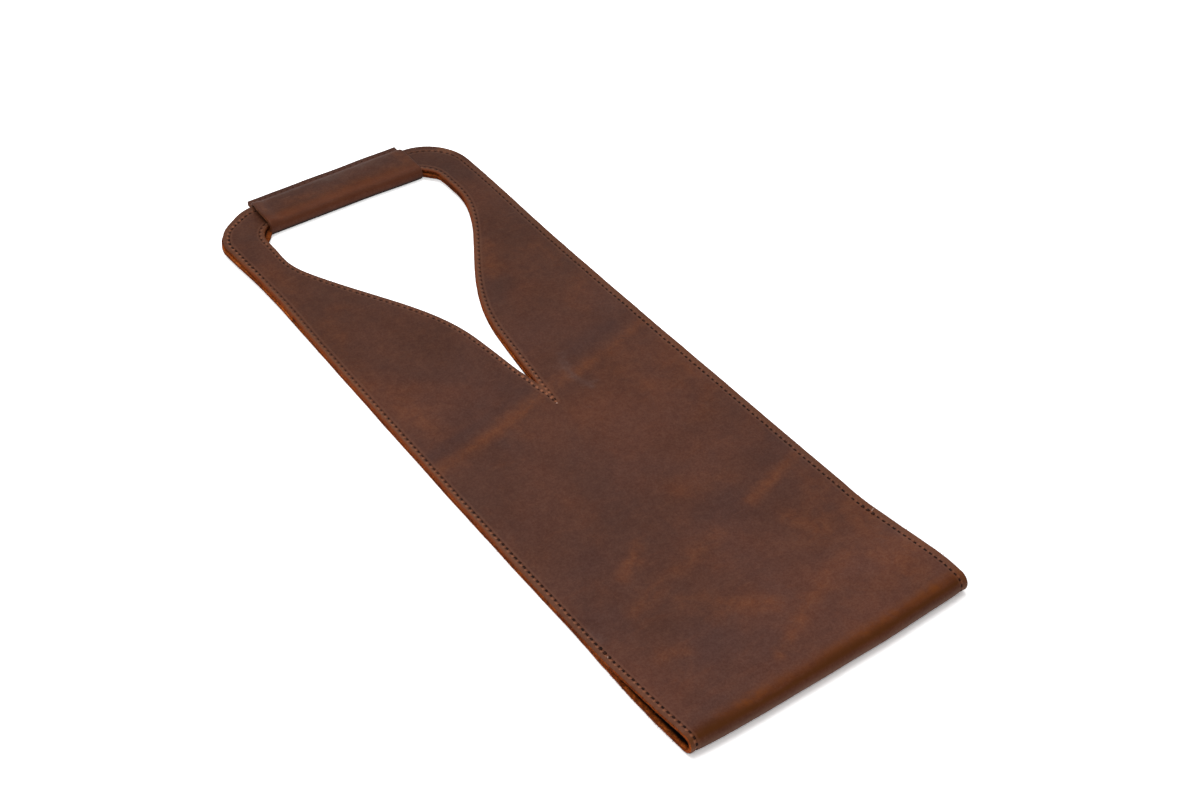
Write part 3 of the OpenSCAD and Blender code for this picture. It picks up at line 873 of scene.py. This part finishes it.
# how the wear is painted: attribute, where, how it joins the old value, base and amount; the amount is
# scaled by slopes (by what, from, to) and humps (by what, middle, half width, "hump")
stripWear = (
    ("foldRust", "all", "set", 0, 1, ("run", 8.2, 3.2, "hump"), ("x", -70, -58), ("patches",)),
    # a painted sheen on the roll's front
    ("foldPaintedSheen", "all", "set", 0, 1, ("run", -0.2, 2.3, "hump")),
    ("foldDull", "all", "set", 0, 1, ("run", 5.5, 4.5, "hump")),
    ("seamShade", "window", "set", 0.66, 0.3, ("y", 262, 228)),
    ("seamShade", "outer", "set", 1, -0.55, ("y", 215, 300)),
    ("seamShade", "all", "most", 0, 1, ("y", 340, 352), ("x", -50, -56)),
    # strength of the painted highlight on the bridges between stitches
    ("seamPaintedHighlight", "window", "set", 0.42, 0.28, ("y", 240, 215)),
    ("seamPaintedHighlight", "outer", "set", 0.20, 0),
    ("seamPaintedHighlight", "left", "set", 0.55, 0),
    ("seamPaintedHighlight", "all", "times", 0, 1, ("seamShade",)),
    ("seamShade", "left", "times", 1, -0.55, ("y", 95, 210), ("y", 348, 338)),
    ("edgeWear", "all", "set", 0, 0.25, ("cut", 1, 0.1)),
    ("edgeWear", "left", "set", 0, 0.9, ("cut", 1.15, 0.45), ("y", 100, 150), ("y", 372, 350)),
    ("edgeWear", "windowRight", "set", 0, 0.6, ("cut", 1, 0.3)),
    ("marginWear", "all", "set", 0.26, 0),
    ("marginWear", "left", "set", 0.26, 0.29, ("y", 85, 150)),
    ("marginWear", "windowRight", "set", 0.45, 0),
    ("marginWear", "left", "times", 1, -0.7, ("y", 352, 378)),
    ("marginWear", "right", "times", 1, -0.9, ("y", 352, 378)),
    ("edgeDark", "all", "set", 0, 0.7, ("y", 335, 362)),
    ("edgeDark", "left", "set", 0, 0.45, ("y", 335, 362)),
    # painted shade deep in the opening and beside the front layer's edge
    ("hollowShade", "all", "set", 0, 1, ("ragged", 1.7, 2.8)),
    ("hollowShade", "low", "set", 0, 1, ("torn", 1.2, 2.1)),
    # darker towards the handle from handling and painted shade, lighter at the bottom front as painted light
    ("handledAndPaintedLight", "all", "set", 0, 0.9, ("y", 190, 300), ("x", 60, -20)),
    ("handledAndPaintedLight", "all", "most", 0, 0.85, ("y", 225, 265)),
    ("handledAndPaintedLight", "all", "most", 0, 0.25, ("y", 125, 150)),
    ("handledAndPaintedLight", "all", "add", 0, 0.3, ("y", 120, 16, "hump")),
    ("handledAndPaintedLight", "front", "add", 0, -0.5, ("y", 60, 35)),
    ("handledAndPaintedLight", "all", "add", 0, 0.3, ("y", 350, 375)),
)

sleeveWear = (
    ("marks", "all", "set", 0, 1, ("share", 0.52, 0.44)),
    # painted shade on the sleeve's lower curve and a dark line on its underside
    ("paintedShadeTone", "all", "set", 0, 0.28, ("frayed", 0.408, 0.438)),
    ("paintedShadeTone", "all", "times", 1, -1, ("share", 0.458, 0.474)),
    ("paintedShadeTone", "all", "most", 0, 1, ("frayed", 0.503, 0.524)),
    ("paintedShadeTone", "all", "times", 0, 1, ("share", 0.72, 0.60)),
    # wear of the grip together with painted light on the lower curve
    ("wornAndLitTone", "all", "set", 0, 1, ("worn", 0.29, 0.39)),
    ("wornAndLitTone", "all", "times", 1, -0.6, ("share", 0.458, 0.474)),
    ("wornAndLitTone", "all", "times", 0, 1, ("share", 0.522, 0.497)),
    # the sleeve darker from handling, with a painted highlight stripe on its lower curve
    ("handledAndPaintedLight", "all", "set", 1.1, 0.6, ("share", 0.335, 0.05, "hump")),
    ("handledAndPaintedLight", "all", "add", 0, 0.4, ("share", 0.37, 0.04, "hump"), ("x", 0, 35)),
    ("handledAndPaintedLight", "all", "add", 0, -1.1, ("share", 0.488, 0.016, "hump")),
)


def shaped(x, *limits):
    if len(limits) == 3:
        return hump(x - limits[0], limits[1])
    return smooth(*limits, x) if limits else x


def paint(rules, by, where):
    painted = {}
    for name, region, how, base, amount, *shapes in rules:
        scale = [shaped(by[key] if key in by else painted[key], *limits) for key, *limits in shapes]
        value = base + amount * np.prod(scale, axis=0)
        old = painted.get(name, np.zeros(len(by["x"])))
        joined = {"set": value, "add": old + value, "times": old * value, "most": np.maximum(old, value)}[how]
        painted[name] = np.where(where[region], joined, old)
    return painted


# strength of a set of marks at each flat point, with frayed borders
def marked(places, x, y, fray):
    total = np.zeros(len(x))
    for x0, y0, x1, y1, width, strength in places:
        ax, ay = x1 - x0, y1 - y0
        t = np.clip(((x - x0) * ax + (y - y0) * ay) / (ax * ax + ay * ay), 0, 1)
        away = np.hypot(x - x0 - t * ax, y - y0 - t * ay) / width
        total = np.maximum(total, strength * np.exp(-((away * (1 + fray)) ** 2)))
    return total


# the burnt band of the fold, wider near the left end and in the middle
def foldBand(x, run, fray):
    middle, below, above, least = 4.6, 1.15, 1.1, 0.8
    above = above + humps(x, (2.2, -66, 12), (1.7, 8, 26)) + 1.2 * np.clip(fray, -0.5, 0.5)
    return hump(run - middle, np.where(run > middle, np.maximum(above, least), below))


def paintStrip(piece):
    x, run, cut = getValues(piece, "flatX", "flatRun", "cutGap")
    y, onFront = planY(run), run > 8
    step, gap = besideSeams(x, run)
    outer = besideOuter(x, run)
    isOuter = outer > 0.5
    fray = waves(x, y, (0.55, 9, 4.4), (0.3, 4, 7.7))
    patches = 0.45 + 0.55 * np.clip(humps(x, (1, -42, 14), (1, 22, 20), (1, 63, 12)), 0, 1)
    by = {"x": x, "y": y, "run": run, "patches": patches, "cut": cut}
    by.update(torn=cut + 0.8 * fray, ragged=cut + 0.7 * fray)
    where = {
        "all": True, "front": onFront, "low": y < 150, "outer": isOuter, "window": ~isOuter,
        "left": isOuter & (x < 0), "right": isOuter & (x >= 0), "windowRight": ~isOuter & (x > 0),
    }
    painted = paint(stripWear, by, where)
    painted.update(seamStep=step, seamGap=gap, seamOuter=outer, foldWear=foldBand(x, run, fray))
    for tone, places in marks.items():
        frayed = fray * (1.4 if tone == "scuffAndSheen" else 1)
        painted[tone + "Tone"] = np.where(onFront, marked(places, x, y, frayed), 0)
    setValues(piece, painted)


paintStrip(bodyStrip)
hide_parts("pocket_strip", "front_arms", "back_arms")
bendFrom, bendTo = ((0, (y - strip["middle"]) * mm, 0) for y in strip["bend"])
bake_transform(bodyStrip, "pocket", "arms", bendFrom, bendTo)
print("strip made:", len(bodyStrip.data.polygons), "faces")


stitch = {
    "length": 1.9, "width": 0.52, "depth": 0.56,
    "thinner": 0.25,  # towards its ends
    "sink": 0.36, "dip": 0.22, "slant": 0.14,
    "windowLength": 0.60,  # how much shorter the stitches round the windows look
    "segments": (8, 6), "lengths": (0.82, 1.12), "widths": (0.85, 1.2),
    # in the outer seam: above y, left of x, how bold
    "bold": ((352, -50, 1.35), (235, 0, 0.68), (235, 99, 0.8), (110, 0, 0.85)), "seed": 5,
}
# the back-tacks: stitches beside earlier ones
tacks = {"count": 3, "above": 1.5, "across": (-0.32, 0.32), "sink": 0.3, "thick": 1.85}
# melted ends of the thread: x, y, direction, length
beads = {
    "places": ((-74.7, 57.4, 50, 0.62), (74.7, 59.2, 10, 1.15), (-0.6, 194.6, -50, 0.55)), "rise": 0.05,
    "thick": 1.5,
}
ahead = 0.2  # a stitch points this far along its seam


def stitchShape(long, thick):
    bm = bmesh.new()
    around, rings = stitch["segments"]
    bmesh.ops.create_uvsphere(bm, u_segments=around, v_segments=rings, radius=1)
    bmesh.ops.rotate(bm, verts=bm.verts[:], matrix=Matrix.Rotation(math.pi / 2, 3, "Y"))
    for v in bm.verts:
        x, y, z = v.co
        fuller = thick * (1 - stitch["thinner"] * x * x) / 2
        height = z * stitch["depth"] * fuller - stitch["dip"] * x * x
        v.co = Vector((x * stitch["length"] / 2 * long, y * stitch["width"] * fuller, height))
    return bm


# a stitch at each (position, direction, normal, length, thickness), on one body or bending with the strip
def sewRow(name, places, replaced=(), body=None, finish=threadFinish):
    whole = bmesh.new()
    for position, direction, normal, long, thick in places:
        one = stitchShape(long, thick)
        across = normal.cross(direction).normalized()
        direction = (direction + across * stitch["slant"]).normalized()
        across = normal.cross(direction).normalized()
        turn = Matrix((direction, across, normal)).transposed().to_4x4()
        bmesh.ops.transform(one, matrix=Matrix.Translation(position) @ turn @ Matrix.Scale(mm, 4), verts=one.verts[:])
        part = bpy.data.meshes.new("part")
        one.to_mesh(part)
        one.free()
        whole.from_mesh(part)
        bpy.data.meshes.remove(part)
    for f in whole.faces:
        f.smooth = True
    piece = finishMesh(name, whole, [finish])
    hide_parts(*replaced)
    if body:
        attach(piece, body)
    else:
        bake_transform(piece, "pocket", "arms", bendFrom, bendTo)


# a stitch's place, its direction laid flat on the leather
def seat(here, there, normal):
    direction = Vector(there - here)
    return Vector(here), (direction - normal * direction.dot(normal)).normalized(), normal


def alongSeam(seam, at, sign, across=0):
    x = (np.interp(at, seam["run"], seam["line"][:, 0]) + across) * sign
    if seam is seams["outer"]:
        x = x + strip["seamDrift"]
    return x, np.interp(at, seam["run"], seam["line"][:, 1])


def stitchMiddles(seam):
    return (np.arange(seam["count"]) + 0.5) * seam["pitch"]


# stitches along a seam of the strip, where kept(run) says so
def stripPlaces(seam, kept=np.isfinite, sides=(1, -1)):
    isOuter = seam is seams["outer"]
    long = 1 if isOuter else stitch["windowLength"]
    middle = stitchMiddles(seam)
    middle = middle[kept(alongSeam(seam, middle, 1)[1])]
    random = np.random.default_rng(stitch["seed"])
    places = []
    for sign in sides:
        x, run = alongSeam(seam, middle, sign)
        height = swell(x, run) - stitch["sink"]
        here, normal = onStrip(x, run, height)
        there, _ = onStrip(*alongSeam(seam, middle + ahead, sign), height)
        for k, up in enumerate(planY(run)):
            fits = [bold for low, right, bold in stitch["bold"] if isOuter and up > low and x[k] < right]
            bold = fits[0] if fits else 1
            size = [random.uniform(*stitch[part]) * bold for part in ("lengths", "widths")]
            places.append((*seat(here[k], there[k], Vector(normal[k])), long * size[0], size[1]))
    return places


outer = seams["outer"]
tackFront, tackBack = flatRun(strip["tack"], True), flatRun(strip["tack"], False)


def aboveTacks(run):
    return (run > tackFront) | (run < tackBack)


def tackPlaces():
    at = stitchMiddles(outer)
    away = np.abs(np.interp(at, outer["run"], outer["line"][:, 1]) - tackFront - tacks["above"])
    places = []
    for middle in at[np.argsort(away)[: tacks["count"]]]:
        for sign in (1, -1):
            for across in tacks["across"]:
                x, run = alongSeam(outer, [middle, middle + ahead], sign, across)
                here, normal = onStrip(x, run, swell(x, run) - stitch["sink"] * tacks["sink"])
                direction = Vector(here[1] - here[0]).normalized()
                places.append((Vector(here[0]), direction, Vector(normal[0]), 1, tacks["thick"]))
    return places


def beadPlaces():
    places = []
    for x, y, turn, long in beads["places"]:
        x, run = np.array([x]), flatRun(np.array([y]), True)
        here, normal = onStrip(x, run, swell(x, run) + beads["rise"])
        direction = Vector((math.cos(math.radians(turn)), math.sin(math.radians(turn)), 0))
        places.append((Vector(here[0]), direction, Vector(normal[0]), long, beads["thick"]))
    return places


sewRow("outerSeam", stripPlaces(outer, aboveTacks) + tackPlaces(), ("side_seam_left", "side_seam_right", "arm_seam"))
for name, sign, node in (("bottomSeamRight", 1, "bottom_seam_right"), ("bottomSeamLeft", -1, "bottom_seam_left")):
    sewRow(name, stripPlaces(outer, lambda run: ~aboveTacks(run), (sign,)), (node,), "pocket")
sewRow("frontWindowSeam", stripPlaces(seams["windowFront"]), ("front_window_seam",))
sewRow("backWindowSeam", stripPlaces(seams["windowBack"]), ("back_window_seam",))
sewRow("threadEnds", beadPlaces(), (), None, meltedThread)
print("strip sewn")


# loose fibres of the raw edges: a scatter along them and a few tufts
fibres = {
    "count": 520, "leftShare": 0.65, "lowShare": 0.45,
    "heights": (9, 78, 372),  # from the roll, low part up to, high part up to
    "length": (0.35, 1.1), "radius": (0.05, 0.10),
    "point": 0.25,  # radius at the tip
    "spread": 0.5,
    "tufts": ((79.3, 40.2, 9), (80.9, 18, 7), (-77.6, 47, 8), (-76.8, 30, 6), (-77.4, 22, 6), (-75.6, 70, 5)),
    "tuftDepth": (0.2, 0.7), "tuftLength": (0.8, 1.9), "seed": 11,
}


def addFibre(bm, root, direction, length, radius):
    turn = direction.to_track_quat("Z", "Y").to_matrix().to_4x4()
    place = Matrix.Translation(root + direction * (length * 0.4 * mm)) @ turn
    bmesh.ops.create_cone(
        bm, cap_ends=True, segments=3, radius1=radius * mm, radius2=radius * fibres["point"] * mm,
        depth=length * mm, matrix=place)


def fibreRoots(random):
    low, middle, high = fibres["heights"]
    roots = []
    for _ in range(fibres["count"]):
        side = -1 if random.random() < fibres["leftShare"] else 1
        y = random.uniform(low, middle) if random.random() < fibres["lowShare"] else random.uniform(middle, high)
        roots.append((side, y, random.random() < 0.5, random.random(), fibres["length"]))
    for x, y, count in fibres["tufts"]:
        for _ in range(count):
            up = y + random.normal() * 0.35
            roots.append((math.copysign(1, x), up, True, random.uniform(*fibres["tuftDepth"]), fibres["tuftLength"]))
    return roots


def makeFibres():
    random = np.random.default_rng(fibres["seed"])
    bm = bmesh.new()
    for side, y, front, depth, lengths in fibreRoots(random):
        x = np.array([side * (float(sideHalf(y)) - 0.1)])
        run = np.array([float(flatRun(y, front))])
        here, normal = onStrip(x, run, swell(x, run) - 0.3 - depth * (strip["leather"] - 0.5))
        out = Vector((side, random.normal() * fibres["spread"], 0))
        out += Vector(normal[0]) * (random.normal() * fibres["spread"])
        length = random.uniform(*lengths)
        addFibre(bm, Vector(here[0]), out.normalized(), length, random.uniform(*fibres["radius"]))
    bmesh.ops.recalc_face_normals(bm, faces=bm.faces[:])
    return finishMesh("edgeFibres", bm, [cutEdge])


edgeFibres = makeFibres()
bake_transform(edgeFibres, "pocket", "arms", bendFrom, bendTo)


# sizes of the sleeve in mm, y and z in its cross-section
sleeve = {
    "from": -46.2, "to": 45.2, "leather": 1.6,
    "fin": (405.3, 402.4),  # outer edge and root
    "finZ": (5.45, 2.15),
    "finPoints": (0, 0.25, 0.8, 1.6),  # in from its edge
    "finPull": 1.4, "top": 7.75,
    "crown": ((396, 0.35), (389, 0.45)),  # y and height over the top
    "shoulder": 400.4, "bendY": 381.2, "bendR": 3.9, "bendTurn": (84, 268, 19),
    "ends": (0, 0.2, 0.6, 1.4),  # columns close to each end
    "rows": 74, "edgeRound": 0.5, "groove": (0.3, 403, 0.6), "pitch": 3.5, "seamEnds": (3, 2), "seamSink": 0.15,
    # reach and height of the ends that stand up; ripples of the upper face and of the fin
    "flap": ((9, 1.8), (6, 0.10)), "ripple": (0.25, 19, 2.2), "wave": (0.16, 12, 6.6), "finWave": (0.25, 16, 9.1),
    "onTop": ((0.04, 0.16), (0.52, 0.40)),  # the upper face, by the share of the run
    "onFin": ((0.08, 0), (0.92, 1)),
    # its left end leans, all of it lies a little left, its right side lower
    "lean": (1.9, 20, (390, 404)), "aside": -0.3, "sag": (0.9, (8, 44), (396, 386)), "handleFrom": (378, 392),
}


# the outer face in cross-section, from the upper fin over the bars, round the bend and back
def sleevePath():
    finY, rootY = sleeve["fin"]
    high, low = sleeve["finZ"]
    r, top, shoulder, bendY, pull = [sleeve[key] for key in ("bendR", "top", "shoulder", "bendY", "finPull")]
    (crownY, crownZ), (crownY2, crownZ2) = sleeve["crown"]
    tip = [finY - d for d in sleeve["finPoints"]]
    over = bezier((rootY, high), (rootY - pull, high + 0.1), (shoulder - 0.2, top - 0.5), (shoulder - 2.6, top), 10)
    crown = bezier(over[-1], (crownY, top + crownZ), (crownY2, top + crownZ2), (bendY + 0.6, 2 * r - 0.02), 14)
    turn = arc((bendY, r), r, *sleeve["bendTurn"])
    under = bezier((bendY + 1, 0), (390, 0), (395, 0), (shoulder - 2, 0), 9)
    out = bezier((shoulder - 2, 0), (shoulder, 0), (rootY - pull, low - 0.1), (rootY, low), 9)
    upper, lower = [[y, high] for y in tip], [[y, low] for y in tip[::-1]]
    path = np.concatenate([upper, over, crown[1:], turn, under, out[1:], lower])
    step = headings(path)
    return path, np.stack([step[:, 1], -step[:, 0]], 1)


sleeveLine, sleeveOut = sleevePath()
sleeveRun = runLength(sleeveLine)


def sleeveAt(run):
    return [np.interp(run, sleeveRun, part) for part in (*sleeveLine.T, *sleeveOut.T)]


def onSleeve(x, run, height):
    y, z, ny, nz = sleeveAt(run)
    share = run / sleeveRun[-1]
    fromLeft, fromRight = x - sleeve["from"], sleeve["to"] - x
    onTop, onFin = [[smooth(*limits, share) for limits in sleeve[key]] for key in ("onTop", "onFin")]
    ends = sum(rise * smooth(reach, 0, away) for (reach, rise), away in zip(sleeve["flap"], (fromLeft, fromRight)))
    flap = onTop[0] * onTop[1] * (ends + waves(x, run, sleeve["ripple"]) + waves(x, run * 0.1, sleeve["wave"]))
    lean, leanReach, leanUp = sleeve["lean"]
    skew = lean * smooth(leanReach, 0, fromLeft) * smooth(*leanUp, y) + sleeve["aside"]
    sag, sagRight, sagDown = sleeve["sag"]
    up = drift["handle"] * smooth(*sleeve["handleFrom"], y) - sag * smooth(*sagRight, x) * smooth(*sagDown, y)
    up = up + waves(x, run * 0.01, sleeve["finWave"]) * (onFin[0] + onFin[1])
    h = height + flap
    point = np.stack([x + skew, y - strip["middle"] + up + ny * h, z + nz * h], 1) * mm
    return point, np.stack([np.zeros(len(x)), ny, nz], 1)


def makeSleeve():
    *ends, inner = sleeve["ends"]
    left, right = [sleeve["from"] + d for d in ends], [sleeve["to"] - d for d in ends[::-1]]
    middle = np.linspace(sleeve["from"] + inner, sleeve["to"] - inner, sleeve["rows"] - 2 * len(ends))
    flat = np.stack(np.meshgrid(np.concatenate([left, middle, right]), sleeveRun, indexing="ij"), 2)
    bm, layers = gridSheet(flat, "flatX", "flatRun")
    x, run = readLayers(bm.verts, layers)
    away = np.min([x - sleeve["from"], sleeve["to"] - x, run, sleeveRun[-1] - run], axis=0)
    depth = roundEdge(away, sleeve["edgeRound"]) + humps(sleeveAt(run)[0], sleeve["groove"])
    for v, co in zip(bm.verts, onSleeve(x, run, -depth)[0]):
        v.co = co
    bmesh.ops.recalc_face_normals(bm, faces=bm.faces[:])
    giveThickness(bm, lambda x, run: onSleeve(x, run, -sleeve["leather"])[0], (0.06, 0.12))
    return finishMesh("handleSleeve", bm, [sleeveGrain, sleeveInsidePaintedShade, sleeveEdge])


def paintSleeve(piece):
    x, run = getValues(piece, "flatX", "flatRun")
    share, y = run / sleeveRun[-1], sleeveAt(run)[0]
    fray = waves(x, y, (0.45, 6, 4.4), (0.25, 2.6, 7.7))
    by = {"x": x, "share": share, "frayed": share + 0.008 * fray, "worn": share + 0.02 * fray}
    painted = paint(sleeveWear, by, {"all": True})
    above = painted.pop("marks")
    for tone, places in sleeveMarks.items():
        painted[tone + "Tone"] = marked(places, x, y, fray) * above
    setValues(piece, painted)


handleSleeve = makeSleeve()
paintSleeve(handleSleeve)
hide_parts("handle_sleeve")
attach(handleSleeve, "sleeve")


def sleevePlaces():
    half = len(sleeveRun) // 2
    first, last = sleeve["seamEnds"]
    xs = np.arange(sleeve["from"] + first, sleeve["to"] - last, sleeve["pitch"])
    places = []
    for part in (slice(half), slice(half, None)):  # upper and lower fin
        y, runs = sleeveLine[part, 0], sleeveRun[part]
        order = np.argsort(y)
        run = np.full(len(xs), np.interp(sleeve["groove"][1], y[order], runs[order]))
        here, normal = onSleeve(xs, run, -sleeve["seamSink"])
        there, _ = onSleeve(xs + ahead, run, -sleeve["seamSink"])
        places += [(*seat(a, b, Vector(n).normalized()), 1, 1) for a, b, n in zip(here, there, normal)]
    return places


sewRow("sleeveSeam", sleevePlaces(), ("sleeve_seam",), "sleeve")
print("sleeve made")


# white paper with only the contact shadow, lifted for the camera, more so behind and far away
stage = {
    "floor": 3, "albedo": 0.92, "gain": 0.64, "lift": (0.02, 0.45), "liftFrom": (-0.20, 0.02), "far": (0.32, 0.8),
    "world": 0.40,
}
white = (1, 1, 1, 1)


def makePaper():
    m = Finish("floorFinish")
    y = addNode(m.tree, "SeparateXYZ", {0: m.place}).outputs["Y"]
    away = addNode(m.tree, "VectorMath", {0: m.place}, operation="LENGTH").outputs["Value"]
    (fromY, toY), (low, high) = stage["liftFrom"], stage["lift"]
    inputs = {"Value": y, "From Min": fromY, "From Max": toY, "To Min": low, "To Max": high}
    lift = m.math("ADD", addNode(m.tree, "MapRange", inputs).outputs[0], m.span(away, *stage["far"]))
    tones = [(stage[key],) * 3 + (1,) for key in ("albedo", "gain")]
    paper, paler = [addNode(m.tree, "BsdfDiffuse", {"Color": tone}).outputs[0] for tone in tones]
    glow = addNode(m.tree, "Emission", {"Color": white, "Strength": lift}).outputs[0]
    both = addNode(m.tree, "AddShader", {0: paper, 1: paler}).outputs[0]
    both = addNode(m.tree, "AddShader", {0: both, 1: glow}).outputs[0]
    seen = addNode(m.tree, "LightPath").outputs["Is Camera Ray"]
    pick = addNode(m.tree, "MixShader", {0: seen, 1: paper, 2: both}).outputs[0]
    m.tree.nodes.remove(m.shader)
    setInputs(m.tree, m.tree.nodes["Material Output"], {"Surface": pick})
    return m.material


bm = bmesh.new()
bmesh.ops.create_grid(bm, x_segments=1, y_segments=1, size=stage["floor"])
floor = finishMesh("floor", bm, [makePaper()])

world = bpy.data.worlds.new("world")
bpy.context.scene.world = world
world.use_nodes = True
tree = world.node_tree
tree.nodes.clear()
path = addNode(tree, "LightPath").outputs
clear = addNode(tree, "Math", {0: path["Is Camera Ray"], 1: path["Is Glossy Ray"]}, operation="MAXIMUM").outputs[0]
powers = (stage["world"], 1)
dim, bright = [addNode(tree, "Background", {"Color": white, "Strength": power}).outputs[0] for power in powers]
either = addNode(tree, "MixShader", {0: clear, 1: dim, 2: bright}).outputs[0]
addNode(tree, "OutputWorld", {"Surface": either})

lamps = {
    "keyLamp": {"place": (-0.04, 0.17, 1.2), "size": 0.95, "power": 8.1},
    "fillLamp": {"place": (-1, -0.7, 0.8), "size": 0.8, "power": 5},
}
for name, lamp in lamps.items():
    data = bpy.data.lights.new(name, "AREA")
    data.shape = "DISK"
    data.size = lamp["size"]
    data.energy = lamp["power"]
    light = addObject(name, data)
    light.location = lamp["place"]
    light.rotation_euler = (-Vector(lamp["place"])).to_track_quat("-Z", "Y").to_euler()

bpy.context.scene.view_settings.view_transform = "Standard"
print("scene lit")
